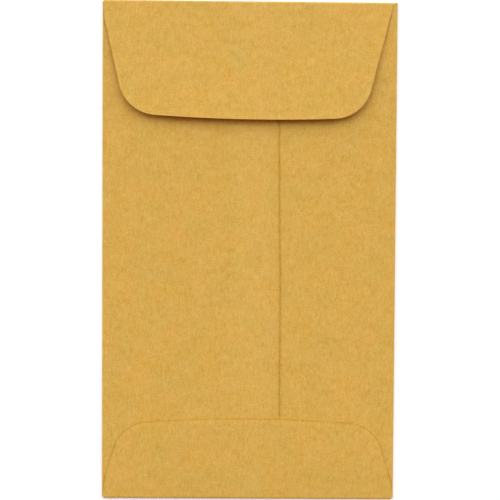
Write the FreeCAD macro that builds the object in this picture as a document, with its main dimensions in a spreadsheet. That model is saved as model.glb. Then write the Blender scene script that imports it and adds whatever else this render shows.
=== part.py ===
import FreeCAD, Part

import math
import os

import Sketcher

# A small brown kraft envelope, folded from one sheet and lying face down: its front panel is on
# the table, and the two side panels, the glued bottom flap and the seal flap are on top.
# +X is to the right and +Y towards the seal flap's fold, seen from above. The origin is under
# the middle of the envelope, on the table.

# Driving sizes, in millimetres and degrees
SIZES = {
    "envelope_width": 63.5,         # across the two side folds
    "envelope_height": 107.95,      # from the bottom fold to the top fold
    "paper_thickness": 0.14,
    "pocket_gap": 0.22,             # free height inside the pocket, under the glued side seam
    "seam_from_centre": 6.65,       # cut edge of the left panel, which lies on the right one
    "seam_overlap": 11.0,           # width of the glued side seam
    "seam_ramp": 1.6,               # length over which the right panel dips under the left one
    "corner_relief": 0.3,           # how far both end folds stop short of the side folds
    "throat_drop": 3.2,             # from the top fold down to the middle of the panels' top edge
    "throat_shoulder": 0.45,        # the same, at the side folds
    "throat_slope": 4.0,            # width of the sloping end of the panels' top edge
    "bottom_flap_depth": 17.79,     # from the bottom fold to the middle of the flap's edge
    "bottom_flap_flare": 0.77,      # how far its slanted sides start outside the side folds
    "bottom_flap_slant": 16.6,
    "bottom_flap_corner": 8.3,
    "bottom_flap_crown": 281.0,     # radius of its long edge
    "bottom_flap_skew": 0.22,       # how far its cut edge is turned in its plane
    "seal_flap_depth": 25.53,       # from the top fold to the middle of the flap's edge
    "seal_flap_inset": 0.19,        # how far its slanted sides start inside the side folds
    "seal_flap_slant": 13.5,
    "seal_flap_corner": 9.0,
    "seal_flap_crown": 355.0,       # radius of its long edge
    "seal_flap_shift": -0.75,       # how far the cut flap sits to the right
    "seal_flap_skew": 0.86,         # how far it is turned in its plane
    "seal_flap_spring": 0.8,        # how far its free edge has swung up about the fold
    "seal_flap_curl": 0.65,         # how far it stands up further because the flap is curled
    "seal_flap_clearance": 0.06,    # between the flap and the panels at the fold
    "trim_margin": 2.0,             # how far each cutting outline reaches past the paper
}

# Sketcher's numbers for the axes, the origin and the ends of an edge
HORIZONTAL_AXIS = -1
VERTICAL_AXIS = -2
ORIGIN_POINT = (-1, 1)
START, END, CENTRE = 1, 2, 3

LEFT_TURN, RIGHT_TURN = 1, -1


class Size:
    """A number together with the sheet expression that gives it."""

    def __init__(self, value, text):
        self.value = float(value)
        self.text = text

    def combine(self, sign, other, value):
        return Size(value, f"({self.text} {sign} {other.text})")

    def __add__(self, other):
        other = as_size(other)
        return self.combine("+", other, self.value + other.value)

    def __sub__(self, other):
        other = as_size(other)
        return self.combine("-", other, self.value - other.value)

    def __mul__(self, other):
        other = as_size(other)
        return self.combine("*", other, self.value * other.value)

    def __truediv__(self, other):
        other = as_size(other)
        return self.combine("/", other, self.value / other.value)

    def __rsub__(self, other):
        return as_size(other) - self

    def __neg__(self):
        return self * -1

    __radd__ = __add__
    __rmul__ = __mul__


def as_size(number):
    return number if isinstance(number, Size) else Size(number, str(number))


def smaller(one, other):
    return Size(min(one.value, other.value), f"min({one.text}; {other.text})")


ZERO = Size(0, "0")
size = {name: Size(number, f"sizes.{name}") for name, number in SIZES.items()}

# Levels and fold centres that follow from the driving sizes
paper = size["paper_thickness"]
margin = size["trim_margin"]
half_width = size["envelope_width"] / 2
half_height = size["envelope_height"] / 2
fold_reach = half_width - size["corner_relief"]

back_top = 3 * paper + size["pocket_gap"]
side_fold_radius = back_top / 2
side_fold_centre = half_width - side_fold_radius

bottom_fold_radius = (back_top + paper) / 2
bottom_fold_centre = bottom_fold_radius - half_height

seal_underside = back_top + size["seal_flap_clearance"]
top_fold_radius = (seal_underside + paper) / 2
top_fold_centre = half_height - top_fold_radius


def write_sheet(document):
    sheet = document.addObject("Spreadsheet::Sheet", "sizes")
    for row, (name, number) in enumerate(SIZES.items(), start=1):
        sheet.set(f"A{row}", name)
        sheet.set(f"B{row}", str(number))
        sheet.setAlias(f"B{row}", name)
    document.recompute()


def bind(target, path, amount):
    target.setExpression(path, amount.text)


def new_sketch(body, role, name, offset):
    """A sketch on one of the body's own planes, moved along its normal."""
    plane = next(item for item in body.Origin.OriginFeatures if item.Role == role)
    sketch = body.newObject("Sketcher::SketchObject", name)
    sketch.AttachmentSupport = [(plane, "")]
    sketch.MapMode = "FlatFace"
    sketch.AttachmentOffset.Base.z = offset.value
    bind(sketch, "AttachmentOffset.Base.z", offset)
    return sketch


def new_pad(body, name, sketch, length):
    return new_extrusion(body, "PartDesign::Pad", name, sketch, length)


def new_pocket(body, name, sketch, depth):
    """Cuts against the sketch's normal, and makes sure that paper was cut away."""
    before = body.Tip.Shape.Volume
    pocket = new_extrusion(body, "PartDesign::Pocket", name, sketch, depth)
    if pocket.Shape.Volume >= before:
        raise ValueError(f"{name} cuts nothing")
    return pocket


def new_extrusion(body, kind, name, sketch, length):
    feature = body.newObject(kind, name)
    feature.Profile = sketch
    bind(feature, "Length", length)
    body.Document.recompute()
    return feature


def hold(sketch, kind, *place, amount):
    """Adds a constraint whose number comes from the sheet."""
    number = math.radians(amount.value) if kind == "Angle" else amount.value
    index = sketch.addConstraint(Sketcher.Constraint(kind, *place, number))
    bind(sketch, f"Constraints[{index}]", amount)


def hold_point(sketch, edge, end, across, up):
    """Holds a point at its two sizes, on an axis for ZERO; a bare number is left free."""
    for kind, axis, amount in (("DistanceX", VERTICAL_AXIS, across), ("DistanceY", HORIZONTAL_AXIS, up)):
        if amount is ZERO:
            sketch.addConstraint(Sketcher.Constraint("PointOnObject", edge, end, axis))
        elif isinstance(amount, Size):
            hold(sketch, kind, *ORIGIN_POINT, edge, end, amount=amount)


def vector(across, up):
    return FreeCAD.Vector(as_size(across).value, as_size(up).value, 0)


def add_line(sketch, first, last):
    return sketch.addGeometry(Part.LineSegment(first, last), False)


def add_arc(sketch, centre, first, last):
    """Draws the arc that turns left from first to last."""
    circle = Part.Circle(centre, FreeCAD.Vector(0, 0, 1), first.distanceToPoint(centre))
    angles = [math.atan2(point.y - centre.y, point.x - centre.x) for point in (first, last)]
    return sketch.addGeometry(Part.ArcOfCircle(circle, *angles), False)


def add_profile(sketch, corners, arcs=None):
    """Draws a closed profile through its corners; arcs maps a side to its centre and its turn."""
    arcs = arcs or {}
    sides = []
    for index, corner in enumerate(corners):
        first, last = vector(*corner), vector(*corners[(index + 1) % len(corners)])
        if index not in arcs:
            sides.append((add_line(sketch, first, last), START, END))
            continue
        centre, turn = arcs[index]
        if turn == LEFT_TURN:
            side = (add_arc(sketch, vector(*centre), first, last), START, END)
        else:
            side = (add_arc(sketch, vector(*centre), last, first), END, START)
        sides.append(side)
    for index, (edge, begin, _) in enumerate(sides):
        previous, _, finish = sides[index - 1]
        sketch.addConstraint(Sketcher.Constraint("Coincident", previous, finish, edge, begin))
        hold_point(sketch, edge, begin, *corners[index])
        if index in arcs:
            hold_point(sketch, edge, CENTRE, *arcs[index][0])


def tangent_points(half_base, slant, corner, crown, depth):
    """Where a flap's rounded corner meets its slanted side and its long edge, and its centre."""
    angle = math.radians(slant)
    side_normal = FreeCAD.Vector(math.cos(angle), math.sin(angle), 0)
    side_run = FreeCAD.Vector(-math.sin(angle), math.cos(angle), 0)
    crown_centre = FreeCAD.Vector(0, depth - crown, 0)
    foot = FreeCAD.Vector(half_base, 0, 0) - side_normal * corner
    from_crown = foot - crown_centre
    along = from_crown.dot(side_run)
    spare = from_crown.dot(from_crown) - (crown - corner) ** 2
    centre = foot + side_run * (math.sqrt(along ** 2 - spare) - along)
    outward = (centre - crown_centre).normalize()
    return centre + side_normal * corner, centre + outward * corner, centre


def add_flap_outline(sketch, reach, half_base, name):
    """Draws a frame round a flap's outline; reach is 1 for a flap that runs towards +Y, or -1.

    The sketch's origin is the middle of the fold. The slanted sides run on past the fold.
    """
    slant, corner = size[f"{name}_slant"], size[f"{name}_corner"]
    crown, depth = size[f"{name}_crown"], size[f"{name}_depth"]
    frame_side = half_base + 2 * margin
    frame_back = -2 * reach * margin
    frame_front = reach * (depth + 2 * margin)
    add_profile(sketch, [(-frame_side, frame_back), (frame_side, frame_back),
                         (frame_side, frame_front), (-frame_side, frame_front)])

    def place(point, mirror=1):
        return FreeCAD.Vector(mirror * point.x, reach * point.y, 0)

    numbers = [item.value for item in (half_base, slant, corner, crown, depth)]
    on_side, on_crown, corner_centre = tangent_points(*numbers)
    widening = margin.value * math.tan(math.radians(slant.value))
    base_end = FreeCAD.Vector(half_base.value + widening, -margin.value, 0)
    crown_centre = FreeCAD.Vector(0, depth.value - crown.value, 0)

    def rounded(centre, first, last):
        points = (first, last) if reach > 0 else (last, first)
        return add_arc(sketch, centre, *points)

    base = add_line(sketch, place(base_end, -1), place(base_end))
    right = add_line(sketch, place(base_end), place(on_side))
    left = add_line(sketch, place(base_end, -1), place(on_side, -1))
    right_corner = rounded(place(corner_centre), place(on_side), place(on_crown))
    long_edge = rounded(place(crown_centre), place(on_crown), place(on_crown, -1))
    left_corner = rounded(place(corner_centre, -1), place(on_crown, -1), place(on_side, -1))
    begin, finish = (START, END) if reach > 0 else (END, START)

    joints = [("Coincident", base, END, right, START),
              ("Coincident", base, START, left, START),
              ("Tangent", right, END, right_corner, begin),
              ("Tangent", right_corner, finish, long_edge, begin),
              ("Tangent", long_edge, finish, left_corner, begin),
              ("Tangent", left_corner, finish, left, END),
              ("Symmetric", base, START, base, END, VERTICAL_AXIS),
              ("PointOnObject", long_edge, CENTRE, VERTICAL_AXIS),
              ("Equal", right_corner, left_corner)]
    for joint in joints:
        sketch.addConstraint(Sketcher.Constraint(*joint))
    hold(sketch, "Radius", right_corner, amount=corner)
    hold(sketch, "Radius", long_edge, amount=crown)
    hold(sketch, "DistanceY", *ORIGIN_POINT, long_edge, CENTRE, amount=reach * (depth - crown))
    hold(sketch, "DistanceY", *ORIGIN_POINT, base, END, amount=-reach * margin)
    hold(sketch, "Angle", right, amount=reach * (90 + slant))
    hold(sketch, "Angle", left, amount=reach * (90 - slant))

    shoulder = sketch.addGeometry(Part.Point(FreeCAD.Vector(half_base.value, 0, 0)), True)
    hold_point(sketch, shoulder, START, half_base, ZERO)
    sketch.addConstraint(Sketcher.Constraint("PointOnObject", shoulder, START, right))


def add_bottom_flap(body):
    """The bottom fold and its flap, which lies flat on the panels."""
    half_base = half_width + size["bottom_flap_flare"]
    reach = smaller(fold_reach, half_base)
    flap_end = size["bottom_flap_depth"] + margin - half_height
    fold_middle = bottom_fold_radius.value
    section = new_sketch(body, "YZ_Plane", "bottom_fold_section", -reach)
    add_profile(
        section,
        [(bottom_fold_centre, ZERO), (bottom_fold_centre, paper), (bottom_fold_centre, back_top),
         (flap_end, back_top), (flap_end, back_top + paper), (bottom_fold_centre, back_top + paper)],
        {1: ((bottom_fold_centre, fold_middle), RIGHT_TURN),
         5: ((bottom_fold_centre, fold_middle), LEFT_TURN)})
    new_pad(body, "bottom_fold", section, 2 * reach)

    outline = new_sketch(body, "XY_Plane", "bottom_flap_outline", back_top + paper + margin)
    bind(outline, "AttachmentOffset.Base.y", -half_height)
    bind(outline, "AttachmentOffset.Rotation.Angle", -size["bottom_flap_skew"])
    add_flap_outline(outline, 1, half_base, "bottom_flap")
    overrun = paper / 2
    new_pocket(body, "bottom_flap_cut", outline, margin + paper + overrun)


def add_panels(body):
    """The front panel, both side folds and the two panels that meet in the glued seam."""
    seam = size["seam_from_centre"]
    seam_start = seam + size["seam_ramp"]
    hidden_edge = seam - size["seam_overlap"]
    centre, middle = side_fold_centre, side_fold_radius.value
    left_arc = ((-centre, middle), LEFT_TURN)
    right_arc = ((centre, middle), LEFT_TURN)
    section = new_sketch(body, "XZ_Plane", "panel_section", -top_fold_centre)
    add_profile(
        section,
        [(-centre, ZERO), (centre, ZERO), (centre, back_top), (seam_start, back_top),
         (seam, back_top - paper), (seam, back_top), (-centre, back_top)],
        {1: right_arc, 6: left_arc})
    add_profile(
        section,
        [(-centre, paper), (centre, paper), (centre, back_top - paper),
         (seam_start, back_top - paper), (seam, back_top - 2 * paper),
         (hidden_edge, back_top - 2 * paper), (hidden_edge, back_top - paper),
         (-centre, back_top - paper)],
        {1: right_arc, 7: left_arc})
    new_pad(body, "panels", section, top_fold_centre - bottom_fold_centre)


def add_throat(body):
    """The top edge of the side panels, cut back from the top fold to leave the mouth open."""
    outside = half_width + margin
    slope_end = half_width - size["throat_slope"]
    middle_level = half_height - size["throat_drop"]
    shoulder_level = half_height - size["throat_shoulder"]
    beyond = half_height + margin
    edge = new_sketch(body, "XY_Plane", "throat_outline", back_top + margin)
    add_profile(edge, [(-outside, beyond), (-outside, shoulder_level), (-half_width, shoulder_level),
                       (-slope_end, middle_level), (slope_end, middle_level),
                       (half_width, shoulder_level), (outside, shoulder_level), (outside, beyond)])
    new_pocket(body, "throat_cut", edge, margin + side_fold_radius)


def add_seal_flap(body):
    """The top fold and its flap, which isn't sealed and stands up off the panels."""
    half_base = half_width - size["seal_flap_inset"]
    shift, spring, curl = size["seal_flap_shift"], size["seal_flap_spring"], size["seal_flap_curl"]
    left_end = smaller(fold_reach, half_base - shift)
    right_end = smaller(fold_reach, half_base + shift)
    run = size["seal_flap_depth"] - top_fold_radius
    curl_radius = (run * run + curl * curl) / (2 * curl)
    curl_centre = (top_fold_centre + curl_radius * spring / run, seal_underside + curl_radius)
    flap_end = half_height - size["seal_flap_depth"] - margin
    whole_run = run.value + margin.value
    end_lift = whole_run * spring.value / run.value + whole_run ** 2 / (2 * curl_radius.value)
    end_under = seal_underside.value + end_lift
    end_top = end_under + paper.value
    centre, middle = top_fold_centre, top_fold_radius.value
    section = new_sketch(body, "YZ_Plane", "top_fold_section", -left_end)
    add_profile(
        section,
        [(centre, ZERO), (centre, seal_underside + paper), (flap_end, end_top),
         (flap_end, end_under), (centre, seal_underside), (centre, paper)],
        {0: ((centre, middle), LEFT_TURN), 1: (curl_centre, RIGHT_TURN),
         3: (curl_centre, LEFT_TURN), 4: ((centre, middle), RIGHT_TURN)})
    new_pad(body, "top_fold", section, left_end + right_end)

    above = spring + curl + paper + margin
    outline = new_sketch(body, "XY_Plane", "seal_flap_outline", seal_underside + above)
    bind(outline, "AttachmentOffset.Base.x", shift)
    bind(outline, "AttachmentOffset.Base.y", half_height)
    bind(outline, "AttachmentOffset.Rotation.Angle", -size["seal_flap_skew"])
    add_flap_outline(outline, -1, half_base, "seal_flap")
    overrun = size["seal_flap_clearance"] / 2
    new_pocket(body, "seal_flap_cut", outline, above + overrun)


def check(document, body):
    for item in document.Objects:
        if "Invalid" in item.State or "Error" in item.State:
            raise ValueError(f"{item.Name} failed: {item.State}")
    shape = body.Shape
    if shape.isNull() or not shape.isValid() or len(shape.Solids) != 1:
        raise ValueError(f"{body.Label} isn't one valid solid")


def main():
    document = FreeCAD.newDocument("kraft_envelope")
    write_sheet(document)
    body = document.addObject("PartDesign::Body", "envelope")
    body.Label = "envelope"
    add_bottom_flap(body)
    add_panels(body)
    add_throat(body)
    add_seal_flap(body)
    document.recompute()
    check(document, body)
    os.makedirs("parts", exist_ok=True)
    body.Shape.exportStep(f"parts/{body.Label}.step")
    box = body.Shape.BoundBox
    print(f"{body.Label}: {box.XLength:.3f} x {box.YLength:.3f} x {box.ZLength:.3f} mm, "
          f"{body.Shape.Volume:.1f} mm3 of paper")


main()
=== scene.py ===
import math

import bpy
import bmesh
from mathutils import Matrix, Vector, kdtree, noise


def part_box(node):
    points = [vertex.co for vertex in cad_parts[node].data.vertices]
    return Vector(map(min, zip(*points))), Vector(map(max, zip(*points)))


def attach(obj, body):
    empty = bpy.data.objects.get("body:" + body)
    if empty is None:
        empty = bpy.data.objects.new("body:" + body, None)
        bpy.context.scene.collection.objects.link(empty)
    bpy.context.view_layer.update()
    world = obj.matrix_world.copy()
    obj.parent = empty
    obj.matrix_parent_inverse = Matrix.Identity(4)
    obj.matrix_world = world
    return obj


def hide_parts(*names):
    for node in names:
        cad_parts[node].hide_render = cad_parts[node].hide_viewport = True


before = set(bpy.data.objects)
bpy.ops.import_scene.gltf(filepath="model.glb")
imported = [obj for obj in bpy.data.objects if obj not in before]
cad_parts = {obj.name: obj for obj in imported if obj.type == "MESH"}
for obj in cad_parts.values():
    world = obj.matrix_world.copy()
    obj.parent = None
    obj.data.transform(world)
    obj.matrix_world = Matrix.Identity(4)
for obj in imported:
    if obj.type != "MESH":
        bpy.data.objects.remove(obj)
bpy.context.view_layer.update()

# A brown kraft envelope, folded from one sheet of paper and lying face down, seen from above.
# Lengths are in metres. +Y runs towards the seal flap's fold, and +Z up.

NODE = "envelope"
cad_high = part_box(NODE)[1]

MM = 0.001
ROUNDING = 1e-9                 # more than the rounding error of a place

# The sheet and its folds
PAPER = 0.14 * MM
BACK_TOP = 0.64 * MM            # upper surface of the back panels where they lie flat
GLUE = 0.04 * MM                # between glued layers
FLAP_CLEARANCE = 0.06 * MM      # between the seal flap and the panels, at the fold
HALF_WIDTH = cad_high.x
HALF_HEIGHT = cad_high.y
OUT_OF_SQUARE = 0.0022          # slope of the two short edges, which go down towards the right

# Radii and centres of the folds, for the middle of the paper
SIDE_RADIUS = (BACK_TOP - PAPER) / 2
SIDE_CENTRE = HALF_WIDTH - BACK_TOP / 2
SIDE_LENGTH = math.pi * SIDE_RADIUS
BOTTOM_RADIUS = BACK_TOP / 2
BOTTOM_CENTRE = BOTTOM_RADIUS + PAPER / 2 - HALF_HEIGHT
TOP_RADIUS = (BACK_TOP + FLAP_CLEARANCE) / 2
TOP_CENTRE = HALF_HEIGHT - TOP_RADIUS - PAPER / 2

# The side seam: the left panel lies on the right one
SEAM_X = 6.76 * MM              # cut edge of the left panel, low down
SEAM_DRIFT = 0.43 * MM          # how far it leans left towards the top
SEAM_DRIFT_SPAN = (-15 * MM, 30 * MM)   # the y at which that starts, and the y at which it ends
SEAM_WANDER = 0.04 * MM         # the most that it wanders to either side
SEAM_FOLLOW = 4 * MM            # width of the left panel's strip that follows the cut edge
SEAM_DIP = 1.5 * MM             # length over which the right panel goes down under the left one
SEAM_DIP_INSIDE = 0.2 * MM      # how far left of the seam's edge it is all the way down
SEAM_LIFT = 0.07 * MM           # how far the cut edge stands off, before it changes along the seam
SEAM_LIFT_SPAN = 1.6 * MM       # width of the strip that is bent up
SEAM_LIFT_MEAN = 0.75           # mean share of the lift along the seam
SEAM_LIFT_CHANGE = 0.5          # the most that this share changes
SEAM_PAINTED_SHADE = -2.0                # painted shade along its cut edge, on the scale of a flap's edge tone
HIDDEN_EDGE_X = -4.35 * MM      # edge of the right panel, under the left one
HIDDEN_STEP = 0.04 * MM         # how much of that edge shows through
HIDDEN_SPAN = 2.2 * MM          # length over which the left panel goes down beside it

# The paler stripe over the seam's glue
GLUE_BAND_X = 0.5 * MM          # its middle
GLUE_BAND_HALF = 4.2 * MM       # half its width
GLUE_BAND_FADE = 2.0 * MM
GLUE_BAND_ON_FLAP = 0.3         # share of it that shows where the paper is higher than a panel can be

# The mouth of the pocket, under the seal flap
THROAT_DROP = 3.2 * MM          # how far below the top fold the back panels' edge is
THROAT_SHOULDER = 0.28 * MM     # how far below it that edge is at the left side fold
RIGHT_SHOULDER = 0.05 * MM      # the same at the right, where it shows beside the seal flap
THROAT_SLOPE = 4.0 * MM         # width of the edge's slope beside each side fold
THROAT_SPAN = 9.0 * MM          # length over which the mesh rows follow the throat's edge

# An empty envelope is a little puffed up, most of all above the bottom flap
PUFF = 0.26 * MM
PUFF_POWER = 2.5                # with which it falls off towards the sides
PUFF_START = 20 * MM            # above this y there is none
PUFF_FULL = -31 * MM            # the y at which it reaches its full height
PUFF_END = -36 * MM             # from here it falls off to nothing at the bottom fold

# Slow waves in the paper. A seed picks a wave's pattern.
UNEVEN = 0.018 * MM             # the most that the large waves rise or fall
LARGE_WAVE = 17 * MM
SMALL_WAVE = 7 * MM
SMALL_WAVE_SHARE = 0.5
SMALL_WAVE_SEED = 9             # added to the large waves' seed
UNEVEN_FADE_SIDE = 8 * MM       # width of the strip along a side in which the waves fade out
UNEVEN_FADE_END = 10 * MM
BACK_SEED = 2.3
SEAL_FLAP_SEED = 6.4
SEAM_WANDER_WAVE = {"x": 0, "size": 9 * MM, "seed": 5.1}
SEAM_LIFT_WAVE = {"x": 3, "size": 14 * MM, "seed": 8.8}
SEED_SPREAD = 3.7               # keeps the patterns of two seeds apart

# The two flaps. depth runs from the fold to the middle of the long edge, and half_base is half the
# width at the fold. slant is that of the sides in degrees. corner and crown are the radii of the
# corners and of the long edge. shift is how far the cut flap sits to the right, and skew how many
# degrees it is turned clockwise. lip is how far its cut edge is bent up, over the width lip_span.
# A flap's edge tone paints a highlight along its cut edge, and shade where it is negative; its inner
# tone paints a highlight band inside that edge; its fold tone lightens the fold for worn fibres, and
# on the bottom fold also paints light over the fold's shade.
BOTTOM_FLARE = 0.77 * MM        # how far the bottom flap's sides start outside the side folds
SEAL_INSET = 0.19 * MM          # how far the seal flap's sides start inside them
# The bottom flap's edge tone is painted shade along its glued edge, its inner tone a painted
# highlight band just inside it, and its fold tone partly painted light over the bottom fold's shade.
BOTTOM_FLAP = {
    "depth": 17.74 * MM, "half_base": HALF_WIDTH + BOTTOM_FLARE, "slant": 16.6,
    "corner": 8.3 * MM, "crown": 281 * MM, "shift": 0.0, "skew": 0.09,
    "lip": -0.05 * MM, "lip_span": 0.8 * MM,
    "painted_edge_tone": -2.9, "inner_painted_highlight": 0.6, "fold_wear_and_painted_light": 4.0}
# The seal flap's edge tone is a painted highlight along its cut edge.
SEAL_FLAP = {
    "depth": 25.49 * MM, "half_base": HALF_WIDTH - SEAL_INSET, "slant": 13.7,
    "corner": 8.3 * MM, "crown": 355 * MM, "shift": -0.77 * MM, "skew": 0.73,
    "lip": 0.03 * MM, "lip_span": 1.2 * MM,
    "painted_edge_tone": 0.3, "inner_painted_highlight": 0.0, "fold_wear_and_painted_light": 1.0}
SEAL_RIGHT = SEAL_FLAP["half_base"] + SEAL_FLAP["shift"]    # the right end of the seal flap's fold
SHOULDER_STEP = 0.2 * MM        # length over which the sheet's edge rises beside the seal flap

# How the seal flap stands up
FLAP_SPRING = 0.8 * MM          # how far its free edge has swung up about the fold
FLAP_CURL = 0.65 * MM           # how far it stands up further because the flap is curled
FLAP_BULGE = 0.5 * MM           # 2.6 times the most that its sides rise further, partway along
FLAP_TWIST = 0.16 * MM          # the same, of what the right side rises more and the left less
FLAP_SINK = 0.03 * MM           # lowers it by a little more than its waves can raise it
FLAP_WAVES_FULL = 0.5           # share of its depth from which its waves have their full height

# How the bottom flap lies on the panels
BOTTOM_RISE = 3 * MM            # length over which it rises from the fold onto the glue
SEAM_PRINT = 0.02 * MM          # how far it sinks in beside the seam's edge
SEAM_PRINT_PLACE = 0.5 * MM     # to the right of that edge
SEAM_PRINT_WIDTH = 0.8 * MM

# Mesh steps
COARSE = 0.85 * MM              # largest step
FINE = 0.2 * MM                 # smallest step, before a row of steps is fitted to its length
GROWTH = 1.5                    # how many times as long as the last one a step may be
LEFT_FINE = 0.4 * MM            # smallest step of the left panel, up to the hidden edge
FOLD_STEPS = 10
CORNER_STEPS = 24
BESIDE_SEAM = (-0.6 * MM, 2.4 * MM)     # from the seam's edge, with fine steps at both ends
BESIDE_HIDDEN = -1 * MM         # from the hidden edge, where the left panel's steps are fine again

# Where the paper's edges have painted shade and painted highlights
EDGE_FADE_IN = 4 * MM           # distance from the fold at which a flap's lip and tones are full
EDGE_REACH = 0.25 * MM          # over which a cut edge's painted shade and highlights fade out
SIDE_TONE = 0.7                 # how much stronger a flap's painted edge shading is on its slanted sides
SIDE_TONE_POWER = 4             # with which that grows from the middle
PAINTED_HIGHLIGHT_PLACE = 0.65 * MM    # of the painted highlight band inside a glued edge, from the edge
PAINTED_HIGHLIGHT_WIDTH = 0.3 * MM

SHARP_ANGLE = 40                # in degrees: an edge that turns more, as a cut edge does, is sharp


def smooth_step(value, low, high):
    part = min(max((value - low) / (high - low), 0.0), 1.0)
    return part * part * (3 - 2 * part)


def bell(value, middle, width):
    return math.exp(-((value - middle) / width) ** 2)


def graded(start, end, fine=FINE):
    """Positions from start to end, close together at both ends."""
    half = abs(end - start) / 2
    steps = [fine]
    while sum(steps) < half:
        steps.append(min(steps[-1] * GROWTH, COARSE))
    steps += steps[::-1]
    total = sum(steps)
    places = [start]
    for step in steps:
        places.append(places[-1] + step * (end - start) / total)
    places[-1] = end
    return places


def wave(x, y, size, seed):
    """A smooth random value from about -1 to 1 that changes over the given size."""
    return noise.noise(Vector((x / size + seed, y / size - seed, seed * SEED_SPREAD)))


# Shape of the sheet: each level function gives the middle of the paper's thickness

def seam_edge(y):
    lean = SEAM_DRIFT * smooth_step(y, *SEAM_DRIFT_SPAN)
    return SEAM_X - lean + SEAM_WANDER * wave(y=y, **SEAM_WANDER_WAVE)


def puff(x, y):
    """How far the back stands above its flat level."""
    across = 1 - abs(x / SIDE_CENTRE) ** PUFF_POWER
    if y > PUFF_END:
        along = 1 - smooth_step(y, PUFF_FULL, PUFF_START)
    else:
        along = 1 - ((PUFF_END - y) / (PUFF_END - BOTTOM_CENTRE)) ** 2
    return PUFF * max(across, 0.0) * max(along, 0.0)


def uneven(x, y, seed):
    """Slow waves in the paper, none at the folds."""
    inside = smooth_step(SIDE_CENTRE - abs(x), 0, UNEVEN_FADE_SIDE)
    inside *= smooth_step(HALF_HEIGHT - abs(y), 0, UNEVEN_FADE_END)
    small = wave(x, y, SMALL_WAVE, seed + SMALL_WAVE_SEED)
    return UNEVEN * inside * (wave(x, y, LARGE_WAVE, seed) + SMALL_WAVE_SHARE * small)


def right_panel_level(x, y):
    level = BACK_TOP - PAPER / 2 + puff(x, y) + uneven(x, y, BACK_SEED)
    seam = seam_edge(y)
    under = (PAPER + GLUE) * (1 - smooth_step(x, seam - SEAM_DIP_INSIDE, seam + SEAM_DIP))
    return level - under


def left_panel_level(x, y):
    level = BACK_TOP - PAPER / 2 + puff(x, y) + uneven(x, y, BACK_SEED)
    level -= HIDDEN_STEP * (1 - smooth_step(x, HIDDEN_EDGE_X - HIDDEN_SPAN, HIDDEN_EDGE_X))
    seam = seam_edge(y)
    free = smooth_step(x, seam - SEAM_LIFT_SPAN, seam)
    share = SEAM_LIFT_MEAN + SEAM_LIFT_CHANGE * wave(y=y, **SEAM_LIFT_WAVE)
    return level + SEAM_LIFT * free ** 2 * share


def bottom_flap_level(x, y):
    seam_print = SEAM_PRINT * bell(x, SEAM_X + SEAM_PRINT_PLACE, SEAM_PRINT_WIDTH)
    rise = smooth_step(y, BOTTOM_CENTRE, BOTTOM_CENTRE + BOTTOM_RISE)
    lies_on = puff(x, y) + uneven(x, y, BACK_SEED)
    return BACK_TOP + PAPER / 2 + lies_on + (GLUE - seam_print) * rise


def seal_flap_level(x, y):
    out = (TOP_CENTRE - y) / (TOP_CENTRE + SEAL_FLAP["depth"] - HALF_HEIGHT)
    across = x / HALF_WIDTH
    base = BACK_TOP + FLAP_CLEARANCE + PAPER / 2
    waves = uneven(x, y, SEAL_FLAP_SEED) - FLAP_SINK
    sides = (FLAP_BULGE * across ** 2 + FLAP_TWIST * across) * (1 - out ** 2)
    rise = (FLAP_SPRING + sides) * out + FLAP_CURL * out ** 2
    return base + rise + waves * smooth_step(out, 0, FLAP_WAVES_FULL)


def throat_edge(x):
    """Y of the back panels' top edge."""
    shoulder = THROAT_SHOULDER if x < 0 else RIGHT_SHOULDER
    slope = smooth_step(SIDE_CENTRE - abs(x), 0, THROAT_SLOPE)
    return HALF_HEIGHT - shoulder - (THROAT_DROP - shoulder) * slope


def front_top(x):
    """Y of the front panel's top edge: the seal flap's fold, and the shoulder to the right of it."""
    beside = smooth_step(x, SEAL_RIGHT, SEAL_RIGHT + SHOULDER_STEP)
    return TOP_CENTRE + (HALF_HEIGHT - RIGHT_SHOULDER - TOP_CENTRE) * beside


def side_fold_top(side, turn):
    """Y of a side fold's top edge, turned round from the front panel by an angle."""
    if side > 0:
        return HALF_HEIGHT - RIGHT_SHOULDER
    shoulder = HALF_HEIGHT - THROAT_SHOULDER
    return TOP_CENTRE + (shoulder - TOP_CENTRE) * turn / math.pi


def towards_throat(y, edge):
    """Stretches the topmost rows of the mesh so that the last one lies on an edge."""
    start = TOP_CENTRE - THROAT_SPAN
    if y <= start:
        return y
    return start + (y - start) * (edge - start) / (TOP_CENTRE - start)


def panel_point(across, y):
    """Place and flat place of a point of the wrapped part, and how much it is on a fold.

    across runs round the envelope from the middle of the front panel, to the right.
    """
    side = 1 if across >= 0 else -1
    beyond = abs(across) - SIDE_CENTRE
    if beyond <= 0:
        y = towards_throat(y, front_top(across))
        return Vector((across, y, PAPER / 2)), Vector((across, y)), 0.0
    if beyond < SIDE_LENGTH:
        turn = beyond / SIDE_RADIUS
        y = towards_throat(y, side_fold_top(side, turn))
        x = side * (SIDE_CENTRE + SIDE_RADIUS * math.sin(turn))
        z = BACK_TOP / 2 - SIDE_RADIUS * math.cos(turn)
        return Vector((x, y, z)), Vector((across, y)), math.sin(turn)
    x = side * (SIDE_CENTRE - (beyond - SIDE_LENGTH))
    y = towards_throat(y, throat_edge(x))
    if side > 0:
        return Vector((x, y, right_panel_level(x, y))), Vector((across, y)), 0.0
    near_seam = smooth_step(x, SEAM_X - SEAM_FOLLOW, SEAM_X)
    x += near_seam * (seam_edge(y) - SEAM_X)
    return Vector((x, y, left_panel_level(x, y))), Vector((across, y)), 0.0


def round_the_side(x):
    """The place round the envelope of a point of the right panel, from its x."""
    return SIDE_CENTRE * 2 + SIDE_LENGTH - x


def seam_painted_shade(across):
    """Painted shade along the seam's cut edge, for the part of the left panel that is right of the
    middle.
    """
    x = -across - round_the_side(0)
    return SEAM_PAINTED_SHADE if x > 0 else 0.0


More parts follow.
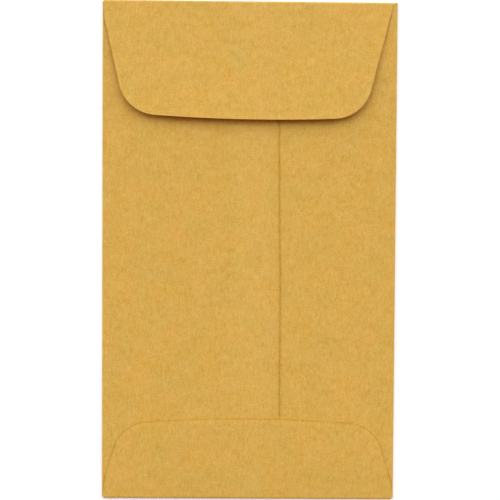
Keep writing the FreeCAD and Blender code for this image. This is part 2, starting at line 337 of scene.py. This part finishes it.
def panel_columns():
    """Places round the envelope, from the left panel's cut edge to the right panel's hidden one."""
    fold = [SIDE_CENTRE + SIDE_LENGTH * step / FOLD_STEPS for step in range(1, FOLD_STEPS)]
    inside, outside = [SEAM_X + distance for distance in BESIDE_SEAM]
    right_x = graded(SIDE_CENTRE, outside) + graded(outside, inside)[1:]
    right_x += graded(inside, HIDDEN_EDGE_X)[1:]
    right = [round_the_side(x) for x in right_x]
    over_hidden = HIDDEN_EDGE_X + BESIDE_HIDDEN
    left_x = graded(-SIDE_CENTRE, over_hidden, fine=LEFT_FINE) + graded(over_hidden, SEAM_X)[1:]
    left = [-round_the_side(-x) for x in left_x]
    front = graded(-SIDE_CENTRE, SEAL_RIGHT) + graded(SEAL_RIGHT, SIDE_CENTRE)[1:]
    return left[::-1] + [-place for place in fold[::-1]] + front + fold + right


# Outline of a flap, in its own plane: Y runs out from the fold, and X from its middle

def outline_corner(flap):
    """Where a flap's rounded corner meets its side and its long edge, and the corner's centre."""
    angle = math.radians(flap["slant"])
    side_normal = Vector((math.cos(angle), math.sin(angle)))
    side_run = Vector((-math.sin(angle), math.cos(angle)))
    crown_centre = Vector((0, flap["depth"] - flap["crown"]))
    foot = Vector((flap["half_base"], 0)) - side_normal * flap["corner"]
    along = (foot - crown_centre).dot(side_run)
    spare = (foot - crown_centre).length_squared - (flap["crown"] - flap["corner"]) ** 2
    centre = foot + side_run * (math.sqrt(along ** 2 - spare) - along)
    outward = (centre - crown_centre).normalized()
    return centre + side_normal * flap["corner"], centre + outward * flap["corner"], centre


def arc_points(centre, first, last):
    """Points on an arc about centre from first to last, both included."""
    radius = (first - centre).length
    start = math.atan2(first.y - centre.y, first.x - centre.x)
    turn = math.atan2(last.y - centre.y, last.x - centre.x) - start
    angles = [start + turn * step / CORNER_STEPS for step in range(CORNER_STEPS + 1)]
    return [centre + radius * Vector((math.cos(angle), math.sin(angle))) for angle in angles]


def along_line(points, shares):
    """Points at the given shares of a line's length."""
    reach = [0.0]
    for first, last in zip(points, points[1:]):
        reach.append(reach[-1] + (last - first).length)
    places, piece = [], 0
    for share in shares:
        goal = share * reach[-1]
        while piece < len(points) - 2 and reach[piece + 1] < goal:
            piece += 1
        part = (goal - reach[piece]) / (reach[piece + 1] - reach[piece])
        places.append(points[piece].lerp(points[piece + 1], min(part, 1.0)))
    return places


# Places of a flap that is folded over. upward is 1 for the bottom flap, which runs towards +Y, and
# -1 for the seal flap. mirror is 1 for a flap's right half and -1 for its left half.

def folded_place(flap, upward, point, mirror=1):
    """Plan place of a point of the flap's outline."""
    skew = math.radians(flap["skew"])
    across, out = mirror * point.x, point.y
    x = across * math.cos(skew) + upward * out * math.sin(skew)
    y = upward * out * math.cos(skew) - across * math.sin(skew)
    return Vector((x + flap["shift"], y - upward * HALF_HEIGHT))


def long_edge(flap, upward):
    """The flap's free edge with its two rounded corners, from left to right."""
    on_side, on_crown, centre = outline_corner(flap)
    crown_centre = Vector((0, flap["depth"] - flap["crown"]))
    middle = Vector((0, flap["depth"]))
    half = arc_points(centre, on_side, on_crown) + arc_points(crown_centre, on_crown, middle)[1:]
    left = [folded_place(flap, upward, point, -1) for point in half]
    return left + [folded_place(flap, upward, point) for point in half[-2::-1]]


def side_line(flap, upward, mirror, start):
    """A side of the flap: straight up from the fold's end to the slanted cut, then along it."""
    shoulder = folded_place(flap, upward, Vector((flap["half_base"], 0)), mirror)
    end = folded_place(flap, upward, outline_corner(flap)[0], mirror)
    share = (start.x - shoulder.x) / (end.x - shoulder.x)
    if share <= 0:
        return [start, end]
    return [start, shoulder.lerp(end, share), end]


def flap_grid(flap, columns, upward):
    """Rows of plan points from the fold's inner line to the free edge, which they follow."""
    fold_line = BOTTOM_CENTRE if upward > 0 else TOP_CENTRE
    base = [Vector((x, fold_line)) for x in columns]
    left_side = side_line(flap, upward, -1, base[0])
    right_side = side_line(flap, upward, 1, base[-1])
    depth = (left_side[-1] - left_side[0]).length
    shares = [place / depth for place in graded(0, depth)]
    across = [(x - columns[0]) / (columns[-1] - columns[0]) for x in columns]
    edge = along_line(long_edge(flap, upward), across)
    left, right = along_line(left_side, shares), along_line(right_side, shares)
    rows = []
    for row, out in enumerate(shares):
        points = []
        for column, over in enumerate(across):
            ends = base[column].lerp(edge[column], out) + left[row].lerp(right[row], over)
            corners = base[0].lerp(base[-1], over).lerp(edge[0].lerp(edge[-1], over), out)
            points.append(ends - corners)
        rows.append(points)
    return rows


# The mesh

class SheetMesh:
    """Collects the sheet's vertices with their flat places, which become its UV map."""

    def __init__(self):
        self.mesh = bmesh.new()
        self.flat = []
        self.fold = []
        self.lip = []
        self.lip_span = []
        self.tone = []
        self.inner = []

    def add(self, place, flat, fold=0.0, lip=0.0, lip_span=MM, tone=0.0, inner=0.0):
        vertex = self.mesh.verts.new(place)
        self.flat.append(flat.to_3d())
        self.fold.append(fold)
        self.lip.append(lip)
        self.lip_span.append(lip_span)
        self.tone.append(tone)
        self.inner.append(inner)
        return vertex

    def join(self, grid):
        """Makes the faces between neighbouring rows."""
        for row, following in zip(grid, grid[1:]):
            for column in range(len(row) - 1):
                self.mesh.faces.new((row[column], row[column + 1],
                                     following[column + 1], following[column]))


def add_flap(sheet, flap, base_row, upward):
    """Folds a flap over from a row of the front panel's vertices."""
    centre, radius = (BOTTOM_CENTRE, BOTTOM_RADIUS) if upward > 0 else (TOP_CENTRE, TOP_RADIUS)
    level = bottom_flap_level if upward > 0 else seal_flap_level
    grid = [base_row]
    for step in range(1, FOLD_STEPS):
        turn = math.pi * step / FOLD_STEPS
        y = centre - upward * radius * math.sin(turn)
        z = PAPER / 2 + radius * (1 - math.cos(turn))
        flat_y = centre - upward * radius * turn
        # lightens the fold for worn fibres; on the bottom fold, partly painted light over its shade
        fold = flap["fold_wear_and_painted_light"] * math.sin(turn)
        grid.append([sheet.add(Vector((vertex.co.x, y, z)), Vector((vertex.co.x, flat_y)), fold)
                     for vertex in base_row])
    turned = centre - upward * radius * math.pi
    for points in flap_grid(flap, [vertex.co.x for vertex in base_row], upward):
        row = []
        for point in points:
            flat = Vector((point.x, turned - (point.y - centre)))
            away = smooth_step(abs(point.y - centre), 0, EDGE_FADE_IN)
            place = Vector((point.x, point.y, level(point.x, point.y)))
            # painted edge shading (shade on the bottom flap, a highlight on the seal flap), stronger
            # on the slanted sides, and the bottom flap's painted highlight band
            on_side = SIDE_TONE * (point.x / HALF_WIDTH) ** SIDE_TONE_POWER
            row.append(sheet.add(place, flat, lip=flap["lip"] * away, lip_span=flap["lip_span"],
                                 tone=flap["painted_edge_tone"] * away * (1 + on_side),
                                 inner=flap["inner_painted_highlight"] * away))
        grid.append(row)
    if upward > 0:
        grid = [row[::-1] for row in grid]      # turns its faces the same way as the panel's
    sheet.join(grid)


def build_sheet():
    """The folded sheet's middle surface."""
    sheet = SheetMesh()
    columns = panel_columns()
    rows = graded(BOTTOM_CENTRE, TOP_CENTRE)
    # the seam's cut edge gets painted shade
    grid = [[sheet.add(*panel_point(across, y), tone=seam_painted_shade(across)) for across in columns]
            for y in rows]
    sheet.join(grid)
    bottom = [vertex for vertex, across in zip(grid[0], columns) if abs(across) <= SIDE_CENTRE]
    top = [vertex for vertex, across in zip(grid[-1], columns)
           if -SIDE_CENTRE <= across <= SEAL_RIGHT + ROUNDING]
    add_flap(sheet, BOTTOM_FLAP, bottom, 1)
    add_flap(sheet, SEAL_FLAP, top, -1)
    return sheet


def out_of_square(x, y):
    """Y with the short edges sloped, scaled so that the sheet just stays inside the part's box from
    model.glb.
    """
    return y * (1 - OUT_OF_SQUARE * HALF_WIDTH / HALF_HEIGHT) - OUT_OF_SQUARE * x


def glue_band(place):
    """How much a place is in the paler stripe over the seam's glue."""
    if place.z < BACK_TOP / 2:
        return 0.0
    inner, outer = GLUE_BAND_HALF - GLUE_BAND_FADE, GLUE_BAND_HALF + GLUE_BAND_FADE / 2
    share = 1 - smooth_step(abs(place.x - GLUE_BAND_X), inner, outer)
    return share if place.z < BACK_TOP + PUFF else GLUE_BAND_ON_FLAP * share


def edge_distances(sheet):
    """How far each vertex is from the nearest cut edge of the flat sheet."""
    cut = [flat for vertex, flat in zip(sheet.mesh.verts, sheet.flat) if vertex.is_boundary]
    tree = kdtree.KDTree(len(cut))
    for index, flat in enumerate(cut):
        tree.insert(flat, index)
    tree.balance()
    return [tree.find(flat)[2] for flat in sheet.flat]


def write_layers(sheet):
    """Writes the UV map and what the material reads, and gives the sheet its slope and its lips."""
    distances = edge_distances(sheet)
    work = sheet.mesh
    flat_map = work.loops.layers.uv.new("sheet")
    fold_layer = work.verts.layers.float.new("fold")
    painted_edge_layer = work.verts.layers.float.new("cut_edge")
    band_layer = work.verts.layers.float.new("glued")
    work.verts.index_update()
    for face in work.faces:
        face.smooth = True
        for loop in face.loops:
            loop[flat_map].uv = sheet.flat[loop.vert.index].xy
    for index, (vertex, distance) in enumerate(zip(work.verts, distances)):
        # painted shade and painted highlights along the cut edges, and a painted highlight band
        # inside a glued edge
        painted_at_edge = sheet.tone[index] * math.exp(-distance / EDGE_REACH)
        inside = sheet.inner[index] * bell(distance, PAINTED_HIGHLIGHT_PLACE, PAINTED_HIGHLIGHT_WIDTH)
        vertex[fold_layer] = sheet.fold[index]
        vertex[painted_edge_layer] = painted_at_edge + inside
        vertex[band_layer] = glue_band(vertex.co)
        vertex.co.y = out_of_square(vertex.co.x, vertex.co.y)
        vertex.co.z += sheet.lip[index] * (1 - smooth_step(distance, 0, sheet.lip_span[index])) ** 2


def make_envelope():
    sheet = build_sheet()
    write_layers(sheet)
    mesh = bpy.data.meshes.new("folded_sheet")
    sheet.mesh.to_mesh(mesh)
    sheet.mesh.free()
    piece = bpy.data.objects.new("folded_kraft_sheet", mesh)
    bpy.context.scene.collection.objects.link(piece)
    give_thickness(piece)
    piece.data.materials.append(kraft_paper())
    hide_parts(NODE)
    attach(piece, "root")


def give_thickness(piece):
    solid = piece.modifiers.new("paper", "SOLIDIFY")
    solid.thickness = PAPER
    solid.offset = 0
    bpy.context.view_layer.update()
    shaped = piece.evaluated_get(bpy.context.evaluated_depsgraph_get())
    thick = bpy.data.meshes.new_from_object(shaped)
    piece.modifiers.clear()
    piece.data = thick
    thick.set_sharp_from_angle(angle=math.radians(SHARP_ANGLE))


# Material

WHITE = (1, 1, 1, 1)
NOISE_MIDDLE = 0.5              # about which Blender's noise lies


class Nodes:
    """Adds nodes to a material's or a world's tree and links what it is given."""

    def __init__(self, owner):
        owner.use_nodes = True
        self.tree = owner.node_tree
        self.tree.nodes.clear()

    def add(self, kind, inputs=None, **settings):
        node = self.tree.nodes.new(kind)
        for name, value in settings.items():
            setattr(node, name, value)
        for name, value in (inputs or {}).items():
            if isinstance(value, bpy.types.NodeSocket):
                self.tree.links.new(value, node.inputs[name])
            else:
                node.inputs[name].default_value = value
        return node

    def math(self, operation, *values):
        node = self.add("ShaderNodeMath", dict(enumerate(values)), operation=operation)
        return node.outputs[0]

    def scaled(self, vector, amount):
        node = self.add("ShaderNodeVectorMath", {0: vector, "Scale": amount}, operation="SCALE")
        return node.outputs[0]

    def sum(self, first, second):
        node = self.add("ShaderNodeVectorMath", {0: first, 1: second}, operation="ADD")
        return node.outputs[0]

    def attribute(self, name):
        return self.add("ShaderNodeAttribute", attribute_name=name).outputs["Fac"]

    def noise(self, place, scale, detail, roughness, distortion=0.0):
        """Fractal noise about zero, at scale features per millimetre."""
        node = self.add("ShaderNodeTexNoise", {"Vector": place, "Scale": scale, "Detail": detail,
                                               "Roughness": roughness, "Distortion": distortion})
        return self.math("SUBTRACT", node.outputs["Fac"], NOISE_MIDDLE)

    def fibres(self, place, turn, **settings):
        """Noise that is drawn out along Y. The turn comes after that and picks another pattern."""
        node = self.add("ShaderNodeMapping", {"Vector": place, "Rotation": (0, 0, math.radians(turn)),
                                              "Scale": (FIBRE_SQUEEZE, 1, 1)})
        return self.noise(node.outputs["Vector"], **settings)

    def seen(self):
        """1 for a ray straight from the camera, off a gloss or through glass, and 0 for others."""
        ray = self.add("ShaderNodeLightPath").outputs
        indirect = self.math("MAXIMUM", ray["Is Glossy Ray"], ray["Is Transmission Ray"])
        return self.math("MAXIMUM", ray["Is Camera Ray"], indirect)

    def finish(self, kind, surface):
        output = self.add(kind)
        self.tree.links.new(surface, output.inputs["Surface"])


KRAFT = (0.684, 0.394, 0.0765)      # the paper's mean colour
LIGHTER = (0.265, 0.30, 0.152)      # how the colour changes from a dark fibre to a light one; also lightens the folds, partly as painted light
PAINTED_EDGE_CHANGE = (0.38, 0.30, 0.15)   # how the colour changes at a cut edge: painted highlight, and painted shade where the tone is negative
REDDER = (0.15, 0.0, 0.0)           # slow change between orange and yellower brown
PALER = (0.0, 0.0, 0.03)            # slow change between stronger and duller brown

# The paper's noises. scale is in features per millimetre.
CLOUDS = {"scale": 0.33, "detail": 2, "roughness": 0.7}
MOTTLE = {"scale": 0.8, "detail": 2, "roughness": 0.6}
FIBRES = {"turn": 3, "scale": 0.7, "detail": 3, "roughness": 0.7, "distortion": 0.3}
OTHER_FIBRES = {"turn": 70, "scale": 0.6, "detail": 3, "roughness": 0.7, "distortion": 0.3}
GRAIN = {"scale": 3.2, "detail": 2, "roughness": 0.7}
HUE = {"scale": 0.13, "detail": 2, "roughness": 0.6}
DULLNESS = {"scale": 0.15, "detail": 2, "roughness": 0.6}
DULLNESS_SHIFT = (91.0, 47.0, 0.0)  # in millimetres, so that its pattern isn't the hue's
FIBRE_SQUEEZE = 3.5                 # how many times as long as wide the fibres are

# How much of each noise and each attribute goes into the tone
SHARES = {"clouds": 0.32, "mottle": 0.35, "fibres": 0.6, "other_fibres": 0.4, "grain": 0.85,
          "fold": 0.08, "glued": 0.045}
PAINTED_EDGE_SHARE = 0.12

PAPER_ROUGHNESS = 0.8
PAPER_SPECULAR = 0.25
RELIEF = {"Distance": 0.02 * MM, "Strength": 0.5}
FIBRE_RELIEF = 0.5                  # height of the fibres beside that of the grain


def paper_colour(nodes, place, layers):
    """The kraft's colour with its noises, its folds, and painted shade and painted highlights at its
    cut edges; the bottom fold's lightening is partly painted light.
    """
    tone = 0.0
    for name, share in SHARES.items():
        tone = nodes.math("MULTIPLY_ADD", layers[name], share, tone)
    # painted shade and painted highlights along the cut edges
    painted_edge_tone = nodes.math("MULTIPLY", nodes.attribute("cut_edge"), PAINTED_EDGE_SHARE)
    elsewhere = nodes.sum(place, DULLNESS_SHIFT)
    changes = ((LIGHTER, tone), (PAINTED_EDGE_CHANGE, painted_edge_tone), (REDDER, nodes.noise(place, **HUE)),
               (PALER, nodes.noise(elsewhere, **DULLNESS)))
    colour = KRAFT
    for change, amount in changes:
        colour = nodes.sum(colour, nodes.scaled(change, amount))
    return colour


def kraft_paper():
    material = bpy.data.materials.new("kraft_paper")
    nodes = Nodes(material)
    sheet = nodes.add("ShaderNodeUVMap", uv_map="sheet").outputs["UV"]
    place = nodes.scaled(sheet, 1 / MM)
    layers = {"clouds": nodes.noise(place, **CLOUDS),
              "mottle": nodes.noise(place, **MOTTLE),
              "fibres": nodes.fibres(place, **FIBRES),
              "other_fibres": nodes.fibres(place, **OTHER_FIBRES),
              "grain": nodes.noise(place, **GRAIN),
              "fold": nodes.attribute("fold"),
              "glued": nodes.attribute("glued")}
    relief = nodes.math("MULTIPLY_ADD", layers["fibres"], FIBRE_RELIEF, layers["grain"])
    bump = nodes.add("ShaderNodeBump", {"Height": relief, **RELIEF})
    shader = nodes.add("ShaderNodeBsdfPrincipled", {
        "Base Color": paper_colour(nodes, place, layers), "Roughness": PAPER_ROUGHNESS,
        "Specular IOR Level": PAPER_SPECULAR, "Normal": bump.outputs["Normal"]})
    nodes.finish("ShaderNodeOutputMaterial", shader.outputs["BSDF"])
    return material


# Surroundings

FLOOR_SIZE = 3.0
FLOOR_LEVEL = -0.02 * MM        # just under the sheet
FLOOR_WHITE = 0.85
FLOOR_ROUGHNESS = 0.9
FLOOR_GLOW = 0.25               # what the camera sees on top of that, so that the floor is white
AMBIENT = 0.24                  # strength of the light from all round
AMBIENT_COLOUR = (1.0, 0.38, 0.07, 1)

# The lamps have more of what that colour lacks, so that both together light the paper white
KEY_COLOUR = [(1 - AMBIENT * part) / (1 - AMBIENT) for part in AMBIENT_COLOUR[:3]]
KEY_SIZE = 15.0                 # side of each square lamp
KEY_DISTANCE = 15.0             # from the origin

# Each lamp's angle from +Y towards the right and its angle above the floor, in degrees, and watts
KEYS = {"left": (-58, 31, 1375.0),
        "right": (58, 31, 1185.0),
        "top": (0, 47, 1150.0)}


def pale_floor():
    half = FLOOR_SIZE / 2
    corners = [(-half, -half, FLOOR_LEVEL), (half, -half, FLOOR_LEVEL),
               (half, half, FLOOR_LEVEL), (-half, half, FLOOR_LEVEL)]
    mesh = bpy.data.meshes.new("floor")
    mesh.from_pydata(corners, [], [(0, 1, 2, 3)])
    floor = bpy.data.objects.new("floor", mesh)
    bpy.context.scene.collection.objects.link(floor)
    material = bpy.data.materials.new("pale_floor")
    nodes = Nodes(material)
    glow = nodes.math("MULTIPLY", nodes.seen(), FLOOR_GLOW)
    shader = nodes.add("ShaderNodeBsdfPrincipled", {
        "Base Color": (FLOOR_WHITE, FLOOR_WHITE, FLOOR_WHITE, 1), "Roughness": FLOOR_ROUGHNESS,
        "Specular IOR Level": 0.0, "Emission Color": WHITE, "Emission Strength": glow})
    nodes.finish("ShaderNodeOutputMaterial", shader.outputs["BSDF"])
    mesh.materials.append(material)


def warm_fill():
    """Light from all round, and a white background for the camera."""
    world = bpy.data.worlds.new("studio")
    bpy.context.scene.world = world
    nodes = Nodes(world)
    seen = nodes.seen()
    strength = nodes.math("MULTIPLY_ADD", seen, 1 - AMBIENT, AMBIENT)
    colour = nodes.add("ShaderNodeMix", {"Factor": seen, "A": AMBIENT_COLOUR, "B": WHITE},
                       data_type="RGBA").outputs["Result"]
    sky = nodes.add("ShaderNodeBackground", {"Color": colour, "Strength": strength})
    nodes.finish("ShaderNodeOutputWorld", sky.outputs["Background"])


def key_lamp(name, side_angle, height_angle, watts):
    lamp = bpy.data.lights.new(name, "AREA")
    lamp.size = KEY_SIZE
    lamp.energy = watts
    lamp.color = KEY_COLOUR
    key = bpy.data.objects.new(name, lamp)
    bpy.context.scene.collection.objects.link(key)
    up, turn = math.radians(height_angle), math.radians(side_angle)
    direction = Vector((math.cos(up) * math.sin(turn), math.cos(up) * math.cos(turn), math.sin(up)))
    key.location = direction * KEY_DISTANCE
    key.rotation_euler = direction.to_track_quat("Z", "Y").to_euler()


CAMERA_PLACE = (-3.52 * MM, 9.02 * MM, 256.15 * MM)
CAMERA_TURN = (-1.949, -0.825, 0.35)    # in degrees, from straight down
LENS = 85                       # in millimetres, as is the next one
SENSOR_WIDTH = 36
CLIP_START = 1 * MM


def camera():
    data = bpy.data.cameras.new("camera")
    data.lens = LENS
    data.sensor_width = SENSOR_WIDTH
    data.clip_start = CLIP_START
    view = bpy.data.objects.new("camera", data)
    bpy.context.scene.collection.objects.link(view)
    view.location = CAMERA_PLACE
    view.rotation_euler = [math.radians(angle) for angle in CAMERA_TURN]
    bpy.context.scene.camera = view


bpy.context.scene.view_settings.view_transform = "Standard"
make_envelope()
pale_floor()
warm_fill()
for side, settings in KEYS.items():
    key_lamp(f"key_{side}", *settings)
camera()
